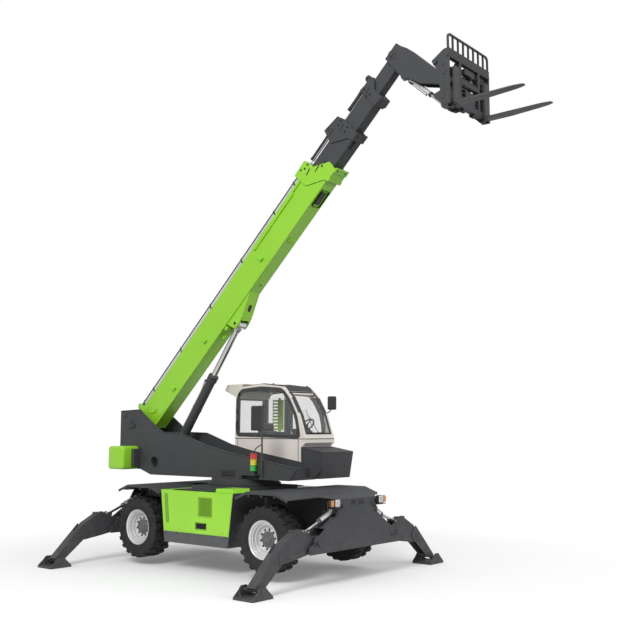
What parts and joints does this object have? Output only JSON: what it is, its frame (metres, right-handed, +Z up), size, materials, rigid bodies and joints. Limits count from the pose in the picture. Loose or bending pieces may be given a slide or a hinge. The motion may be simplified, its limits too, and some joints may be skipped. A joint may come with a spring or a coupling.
{
  "type": "rotating telehandler",
  "caption": "Rotating telehandler on raised stabilisers, with a four-stage telescopic boom, fork carriage and enclosed cab.",
  "frame": {"origin": "on the ground, under the slewing axis and midway between the axles", "axes": "+X to the front of the chassis, +Y to its left, +Z up"},
  "size_m": [9.66, 5.35, 9.322],
  "materials": {
    "lime_paint": "satin lime green paint",
    "dark_paint": "satin dark grey paint",
    "cab_paint": "satin beige paint",
    "glass": "clear safety glass",
    "seat_cloth": "dark woven cloth",
    "black_plastic": "grained black plastic",
    "engine_iron": "painted casting",
    "chrome_rod": "ground and plated rod",
    "fork_steel": "dark forged steel",
    "rim_silver": "silver paint",
    "tyre_rubber": "black rubber"
  },
  "bodies": {
    "chassis": {"chassis_frame": "dark_paint", "mudguards": "dark_paint", "front_stabiliser_box": "dark_paint", "rear_stabiliser_box": "dark_paint", "engine_hood": "lime_paint", "tank_cover": "lime_paint", "engine_block": "engine_iron", "front_axle": "dark_paint", "rear_axle": "dark_paint"},
    "turret": {"turret_frame": "dark_paint", "counterweight": "lime_paint", "front_housing": "dark_paint", "cab_frame": "cab_paint", "cab_glass": "glass", "seat": "seat_cloth", "steering_console": "black_plastic"},
    "cab_door": {"cab_door": "cab_paint", "door_glass": "glass"},
    "boom_base": {"boom_base": "lime_paint"},
    "boom_second": {"boom_second": "dark_paint"},
    "boom_third": {"boom_third": "dark_paint"},
    "boom_fly": {"boom_fly": "dark_paint"},
    "lift_barrel": {"lift_barrel": "dark_paint"},
    "lift_rod": {"lift_rod": "chrome_rod"},
    "tilt_barrel": {"tilt_barrel": "dark_paint"},
    "tilt_rod": {"tilt_rod": "chrome_rod"},
    "carriage": {"fork_carriage": "dark_paint", "forks": "fork_steel"},
    "front_left_knuckle": {"front_left_knuckle": "dark_paint"},
    "front_left_wheel": {"front_left_rim": "rim_silver", "front_left_tyre": "tyre_rubber"},
    "front_left_arm": {"front_left_stabiliser_arm": "dark_paint"},
    "front_left_leg": {"front_left_stabiliser_leg": "dark_paint"},
    "front_left_pad": {"front_left_stabiliser_pad": "dark_paint"},
    "front_left_ram_barrel": {"front_left_ram_barrel": "dark_paint"},
    "front_left_ram_rod": {"front_left_ram_rod": "chrome_rod"},
    "front_right_knuckle": {"front_right_knuckle": "dark_paint"},
    "front_right_wheel": {"front_right_rim": "rim_silver", "front_right_tyre": "tyre_rubber"},
    "front_right_arm": {"front_right_stabiliser_arm": "dark_paint"},
    "front_right_leg": {"front_right_stabiliser_leg": "dark_paint"},
    "front_right_pad": {"front_right_stabiliser_pad": "dark_paint"},
    "front_right_ram_barrel": {"front_right_ram_barrel": "dark_paint"},
    "front_right_ram_rod": {"front_right_ram_rod": "chrome_rod"},
    "rear_left_knuckle": {"rear_left_knuckle": "dark_paint"},
    "rear_left_wheel": {"rear_left_rim": "rim_silver", "rear_left_tyre": "tyre_rubber"},
    "rear_left_arm": {"rear_left_stabiliser_arm": "dark_paint"},
    "rear_left_leg": {"rear_left_stabiliser_leg": "dark_paint"},
    "rear_left_pad": {"rear_left_stabiliser_pad": "dark_paint"},
    "rear_left_ram_barrel": {"rear_left_ram_barrel": "dark_paint"},
    "rear_left_ram_rod": {"rear_left_ram_rod": "chrome_rod"},
    "rear_right_knuckle": {"rear_right_knuckle": "dark_paint"},
    "rear_right_wheel": {"rear_right_rim": "rim_silver", "rear_right_tyre": "tyre_rubber"},
    "rear_right_arm": {"rear_right_stabiliser_arm": "dark_paint"},
    "rear_right_leg": {"rear_right_stabiliser_leg": "dark_paint"},
    "rear_right_pad": {"rear_right_stabiliser_pad": "dark_paint"},
    "rear_right_ram_barrel": {"rear_right_ram_barrel": "dark_paint"},
    "rear_right_ram_rod": {"rear_right_ram_rod": "chrome_rod"}
  },
  "joints": [
    {"name": "slew", "type": "hinge", "parent": "chassis", "child": "turret", "pos_m": [0, 0, 1.56], "axis": [0, 0, 1], "continuous": true},
    {"name": "boom_lift", "type": "hinge", "parent": "turret", "child": "boom_base", "pos_m": [-2.976, 0, 2.733], "axis": [0, -1, 0], "range_deg": [-46, 33]},
    {"name": "telescope_second", "type": "slide", "parent": "boom_base", "child": "boom_second", "axis": [0.7193, 0, 0.6947], "range_m": [-0.2, 5.3]},
    {"name": "telescope_third", "type": "slide", "parent": "boom_second", "child": "boom_third", "axis": [0.7193, 0, 0.6947], "range_m": [-0.2, 5.3]},
    {"name": "telescope_fly", "type": "slide", "parent": "boom_third", "child": "boom_fly", "axis": [0.7193, 0, 0.6947], "range_m": [-0.2, 5.3]},
    {"name": "lift_rod_swing", "type": "hinge", "parent": "boom_base", "child": "lift_rod", "pos_m": [-0.17901, 0, 4.63468], "axis": [0, -1, 0], "range_deg": [-2, 1.5]},
    {"name": "lift_stroke", "type": "slide", "parent": "lift_rod", "child": "lift_barrel", "axis": [-0.5831, 0, -0.8124], "range_m": [-0.89, 0.64]},
    {"name": "fork_tilt", "type": "hinge", "parent": "boom_fly", "child": "carriage", "pos_m": [4.66, 0, 8.38], "axis": [0, -1, 0], "range_deg": [-45, 50]},
    {"name": "tilt_barrel_swing", "type": "hinge", "parent": "boom_fly", "child": "tilt_barrel", "pos_m": [3.908, 0, 8.654], "axis": [0, -1, 0], "range_deg": [-11.5, 12.5]},
    {"name": "tilt_stroke", "type": "slide", "parent": "tilt_barrel", "child": "tilt_rod", "axis": [0.7321, 0, -0.6812], "range_m": [-0.215, 0.24]},
    {"name": "cab_door", "type": "hinge", "parent": "turret", "child": "cab_door", "pos_m": [-0.04, 1.305, 2.5], "axis": [0, 0, 1], "range_deg": [0, 95]},
    {"name": "front_left_steer", "type": "hinge", "parent": "chassis", "child": "front_left_knuckle", "pos_m": [1.642, 0.82, 0.7], "axis": [0, 0, 1], "range_deg": [-30, 30]},
    {"name": "front_left_roll", "type": "hinge", "parent": "front_left_knuckle", "child": "front_left_wheel", "pos_m": [1.642, 1.0525, 0.7], "axis": [0, 1, 0], "continuous": true},
    {"name": "front_left_stabiliser", "type": "hinge", "parent": "chassis", "child": "front_left_arm", "pos_m": [2.562, 1.03, 0.73], "axis": [1, 0, 0], "range_deg": [0, 68]},
    {"name": "front_left_leg_fold", "type": "hinge", "parent": "front_left_arm", "child": "front_left_leg", "pos_m": [2.562, 1.93, 0.555], "axis": [1, 0, 0], "range_deg": [-122, 0.5]},
    {"name": "front_left_pad_level", "type": "hinge", "parent": "front_left_leg", "child": "front_left_pad", "pos_m": [2.562, 2.45, 0.13], "axis": [1, 0, 0], "range_deg": [-0.5, 54]},
    {"name": "front_left_ram_swing", "type": "hinge", "parent": "chassis", "child": "front_left_ram_barrel", "pos_m": [2.562, 0.54, 1.175], "axis": [1, 0, 0], "range_deg": [-0.5, 2.5]},
    {"name": "front_left_ram_stroke", "type": "slide", "parent": "front_left_ram_barrel", "child": "front_left_ram_rod", "axis": [0, 0.9325, -0.3612], "range_m": [-0.315, 0.005]},
    {"name": "front_right_steer", "type": "hinge", "parent": "chassis", "child": "front_right_knuckle", "pos_m": [1.642, -0.82, 0.7], "axis": [0, 0, 1], "range_deg": [-30, 30]},
    {"name": "front_right_roll", "type": "hinge", "parent": "front_right_knuckle", "child": "front_right_wheel", "pos_m": [1.642, -1.0525, 0.7], "axis": [0, 1, 0], "continuous": true},
    {"name": "front_right_stabiliser", "type": "hinge", "parent": "chassis", "child": "front_right_arm", "pos_m": [2.562, -1.03, 0.73], "axis": [-1, 0, 0], "range_deg": [0, 68]},
    {"name": "front_right_leg_fold", "type": "hinge", "parent": "front_right_arm", "child": "front_right_leg", "pos_m": [2.562, -1.93, 0.555], "axis": [-1, 0, 0], "range_deg": [-122, 0.5]},
    {"name": "front_right_pad_level", "type": "hinge", "parent": "front_right_leg", "child": "front_right_pad", "pos_m": [2.562, -2.45, 0.13], "axis": [-1, 0, 0], "range_deg": [-0.5, 54]},
    {"name": "front_right_ram_swing", "type": "hinge", "parent": "chassis", "child": "front_right_ram_barrel", "pos_m": [2.562, -0.54, 1.175], "axis": [-1, 0, 0], "range_deg": [-0.5, 2.5]},
    {"name": "front_right_ram_stroke", "type": "slide", "parent": "front_right_ram_barrel", "child": "front_right_ram_rod", "axis": [0, -0.9325, -0.3612], "range_m": [-0.315, 0.005]},
    {"name": "rear_left_steer", "type": "hinge", "parent": "chassis", "child": "rear_left_knuckle", "pos_m": [-1.642, 0.82, 0.7], "axis": [0, 0, 1], "range_deg": [-30, 30]},
    {"name": "rear_left_roll", "type": "hinge", "parent": "rear_left_knuckle", "child": "rear_left_wheel", "pos_m": [-1.642, 1.0525, 0.7], "axis": [0, 1, 0], "continuous": true},
    {"name": "rear_left_stabiliser", "type": "hinge", "parent": "chassis", "child": "rear_left_arm", "pos_m": [-2.562, 1.03, 0.73], "axis": [1, 0, 0], "range_deg": [0, 68]},
    {"name": "rear_left_leg_fold", "type": "hinge", "parent": "rear_left_arm", "child": "rear_left_leg", "pos_m": [-2.562, 1.93, 0.555], "axis": [1, 0, 0], "range_deg": [-122, 0.5]},
    {"name": "rear_left_pad_level", "type": "hinge", "parent": "rear_left_leg", "child": "rear_left_pad", "pos_m": [-2.562, 2.45, 0.13], "axis": [1, 0, 0], "range_deg": [-0.5, 54]},
    {"name": "rear_left_ram_swing", "type": "hinge", "parent": "chassis", "child": "rear_left_ram_barrel", "pos_m": [-2.562, 0.54, 1.175], "axis": [1, 0, 0], "range_deg": [-0.5, 2.5]},
    {"name": "rear_left_ram_stroke", "type": "slide", "parent": "rear_left_ram_barrel", "child": "rear_left_ram_rod", "axis": [0, 0.9325, -0.3612], "range_m": [-0.315, 0.005]},
    {"name": "rear_right_steer", "type": "hinge", "parent": "chassis", "child": "rear_right_knuckle", "pos_m": [-1.642, -0.82, 0.7], "axis": [0, 0, 1], "range_deg": [-30, 30]},
    {"name": "rear_right_roll", "type": "hinge", "parent": "rear_right_knuckle", "child": "rear_right_wheel", "pos_m": [-1.642, -1.0525, 0.7], "axis": [0, 1, 0], "continuous": true},
    {"name": "rear_right_stabiliser", "type": "hinge", "parent": "chassis", "child": "rear_right_arm", "pos_m": [-2.562, -1.03, 0.73], "axis": [-1, 0, 0], "range_deg": [0, 68]},
    {"name": "rear_right_leg_fold", "type": "hinge", "parent": "rear_right_arm", "child": "rear_right_leg", "pos_m": [-2.562, -1.93, 0.555], "axis": [-1, 0, 0], "range_deg": [-122, 0.5]},
    {"name": "rear_right_pad_level", "type": "hinge", "parent": "rear_right_leg", "child": "rear_right_pad", "pos_m": [-2.562, -2.45, 0.13], "axis": [-1, 0, 0], "range_deg": [-0.5, 54]},
    {"name": "rear_right_ram_swing", "type": "hinge", "parent": "chassis", "child": "rear_right_ram_barrel", "pos_m": [-2.562, -0.54, 1.175], "axis": [-1, 0, 0], "range_deg": [-0.5, 2.5]},
    {"name": "rear_right_ram_stroke", "type": "slide", "parent": "rear_right_ram_barrel", "child": "rear_right_ram_rod", "axis": [0, -0.9325, -0.3612], "range_m": [-0.315, 0.005]}
  ],
  "couplings": [
    {"joint": "telescope_third", "follows": "telescope_second", "ratio": 1},
    {"joint": "telescope_fly", "follows": "telescope_second", "ratio": 1},
    {"joint": "lift_rod_swing", "follows": "boom_lift", "ratio": 0.04},
    {"joint": "lift_stroke", "follows": "boom_lift", "m_per_rad": 1.1},
    {"joint": "tilt_barrel_swing", "follows": "fork_tilt", "ratio": 0.24},
    {"joint": "tilt_stroke", "follows": "fork_tilt", "m_per_rad": 0.27},
    {"joint": "front_left_leg_fold", "follows": "front_left_stabiliser", "ratio": -1.776},
    {"joint": "front_left_pad_level", "follows": "front_left_stabiliser", "ratio": 0.776},
    {"joint": "front_left_ram_swing", "follows": "front_left_stabiliser", "ratio": 0.03},
    {"joint": "front_left_ram_stroke", "follows": "front_left_stabiliser", "m_per_rad": -0.261},
    {"joint": "front_right_leg_fold", "follows": "front_right_stabiliser", "ratio": -1.776},
    {"joint": "front_right_pad_level", "follows": "front_right_stabiliser", "ratio": 0.776},
    {"joint": "front_right_ram_swing", "follows": "front_right_stabiliser", "ratio": 0.03},
    {"joint": "front_right_ram_stroke", "follows": "front_right_stabiliser", "m_per_rad": -0.261},
    {"joint": "front_right_steer", "follows": "front_left_steer", "ratio": 1},
    {"joint": "rear_left_leg_fold", "follows": "rear_left_stabiliser", "ratio": -1.776},
    {"joint": "rear_left_pad_level", "follows": "rear_left_stabiliser", "ratio": 0.776},
    {"joint": "rear_left_ram_swing", "follows": "rear_left_stabiliser", "ratio": 0.03},
    {"joint": "rear_left_ram_stroke", "follows": "rear_left_stabiliser", "m_per_rad": -0.261},
    {"joint": "rear_right_leg_fold", "follows": "rear_right_stabiliser", "ratio": -1.776},
    {"joint": "rear_right_pad_level", "follows": "rear_right_stabiliser", "ratio": 0.776},
    {"joint": "rear_right_ram_swing", "follows": "rear_right_stabiliser", "ratio": 0.03},
    {"joint": "rear_right_ram_stroke", "follows": "rear_right_stabiliser", "m_per_rad": -0.261},
    {"joint": "rear_right_steer", "follows": "rear_left_steer", "ratio": 1}
  ]
}
